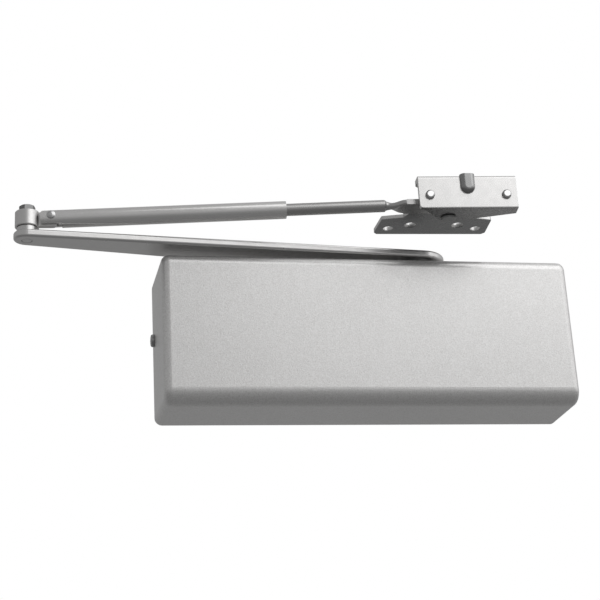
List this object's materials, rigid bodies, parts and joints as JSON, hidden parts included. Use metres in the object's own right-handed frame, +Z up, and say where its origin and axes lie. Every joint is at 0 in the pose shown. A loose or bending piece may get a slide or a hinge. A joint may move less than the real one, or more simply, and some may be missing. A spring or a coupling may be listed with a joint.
{
  "type": "surface-mounted door closer with folding arm",
  "caption": "Surface-mounted hydraulic door closer: box cover over a rack-and-pinion body, flat main arm, sliding forearm, and foot and soffit brackets.",
  "frame": {"origin": "centre of the four door bolts, on the face that lies against the door", "axes": "+Y into the door, +Z up, +X along the cover towards the spindle end"},
  "size_m": [0.4229, 0.1204, 0.1585],
  "materials": {
    "cover_paint": "fine-grained silver lacquer",
    "arm_paint": "silver lacquer over steel",
    "forearm_paint": "semi-gloss silver lacquer",
    "bracket_paint": "silver lacquer over pressed steel",
    "plate_paint": "thin grey primer",
    "knuckle_metal": "silver lacquer with a bare bright tongue",
    "cast_body": "painted sand casting",
    "turned_steel": "turned",
    "spring_steel": "oiled wire",
    "black_oxide": "black oxide",
    "zinc_plated": "bright zinc plate",
    "bushing_bronze": "sintered bronze",
    "turned_brass": "turned",
    "seal_rubber": "matt"
  },
  "bodies": {
    "root": {"back_plate": "plate_paint", "housing": "cast_body", "left_end_plug": "black_oxide", "right_end_plug": "black_oxide", "end_plug_o_rings": "seal_rubber", "spring_seat": "turned_steel", "main_spring": "spring_steel", "inner_spring": "spring_steel", "upper_bearing": "turned_steel", "lower_bearing": "turned_steel", "spindle_seals": "seal_rubber", "upper_spindle_cap": "black_oxide", "lower_spindle_cap": "black_oxide", "body_screws": "black_oxide", "cover_screws": "zinc_plated"},
    "piston": {"piston": "turned_steel", "check_ball": "turned_steel", "check_ball_retainer": "turned_steel"},
    "spindle": {"spindle": "turned_steel", "main_arm": "arm_paint", "arm_washer": "zinc_plated", "arm_screw": "zinc_plated", "elbow_stud": "arm_paint", "elbow_nut": "zinc_plated"},
    "knuckle": {"elbow_knuckle": "knuckle_metal", "elbow_bushing": "bushing_bronze"},
    "forearm": {"forearm_tube": "forearm_paint", "knuckle_rivet": "zinc_plated", "length_lock_screw": "zinc_plated"},
    "rod": {"forearm_rod": "forearm_paint", "foot_rivet": "bracket_paint", "pivot_spacer": "turned_steel", "pivot_washer": "turned_steel"},
    "foot": {"foot_bracket": "bracket_paint", "foot_screws": "zinc_plated"},
    "soffit": {"soffit_bracket": "bracket_paint"},
    "cover": {"cover": "cover_paint"},
    "sweep": {"sweep_valve": "turned_brass"},
    "latch": {"latch_valve": "turned_brass"},
    "backcheck": {"backcheck_valve": "turned_brass"},
    "power": {"power_adjust_screw": "black_oxide"}
  },
  "joints": [
    {"name": "spindle_turn", "type": "hinge", "parent": "root", "child": "spindle", "pos_m": [0.045, -0.033, 0], "axis": [0, 0, 1], "range_deg": [0, 170], "stiffness_Nm_per_rad": 6, "springref_deg": -114.59},
    {"name": "piston_slide", "type": "slide", "parent": "root", "child": "piston", "axis": [1, 0, 0], "range_m": [-0.032, 0], "deforming": ["main_spring", "inner_spring"]},
    {"name": "elbow_pivot", "type": "hinge", "parent": "spindle", "child": "knuckle", "pos_m": [-0.25177, -0.06944, 0.07635], "axis": [0, 0, 1], "range_deg": [-170, 170]},
    {"name": "forearm_tilt", "type": "hinge", "parent": "knuckle", "child": "forearm", "pos_m": [-0.23478, -0.07093, 0.07805], "axis": [-0.0872, -0.9962, 0], "range_deg": [0, 6]},
    {"name": "rod_slide", "type": "slide", "parent": "forearm", "child": "rod", "axis": [0.9956, -0.0871, 0.0349], "range_m": [-0.055, 0.045]},
    {"name": "foot_pivot", "type": "hinge", "parent": "rod", "child": "foot", "pos_m": [0.05386, -0.09618, 0.07805], "axis": [0, 0, 1], "range_deg": [0, 20]},
    {"name": "soffit_pivot", "type": "hinge", "parent": "rod", "child": "soffit", "pos_m": [0.05386, -0.09618, 0.08975], "axis": [0, 0, 1], "range_deg": [-18, 22]},
    {"name": "cover_pull", "type": "slide", "parent": "root", "child": "cover", "axis": [0, -1, 0], "range_m": [0, 0.07]},
    {"name": "sweep_turn", "type": "hinge", "parent": "root", "child": "sweep", "pos_m": [-0.08, -0.056, -0.025], "axis": [0, -1, 0], "range_deg": [-180, 180]},
    {"name": "latch_turn", "type": "hinge", "parent": "root", "child": "latch", "pos_m": [-0.06, -0.056, -0.025], "axis": [0, -1, 0], "range_deg": [-180, 180]},
    {"name": "backcheck_turn", "type": "hinge", "parent": "root", "child": "backcheck", "pos_m": [-0.04, -0.056, -0.025], "axis": [0, -1, 0], "range_deg": [-180, 180]},
    {"name": "power_adjust_turn", "type": "hinge", "parent": "root", "child": "power", "pos_m": [-0.138, -0.033, 0], "axis": [-1, 0, 0], "range_deg": [-180, 180]}
  ],
  "couplings": [
    {"joint": "piston_slide", "follows": "spindle_turn", "m_per_rad": -0.0105}
  ]
}
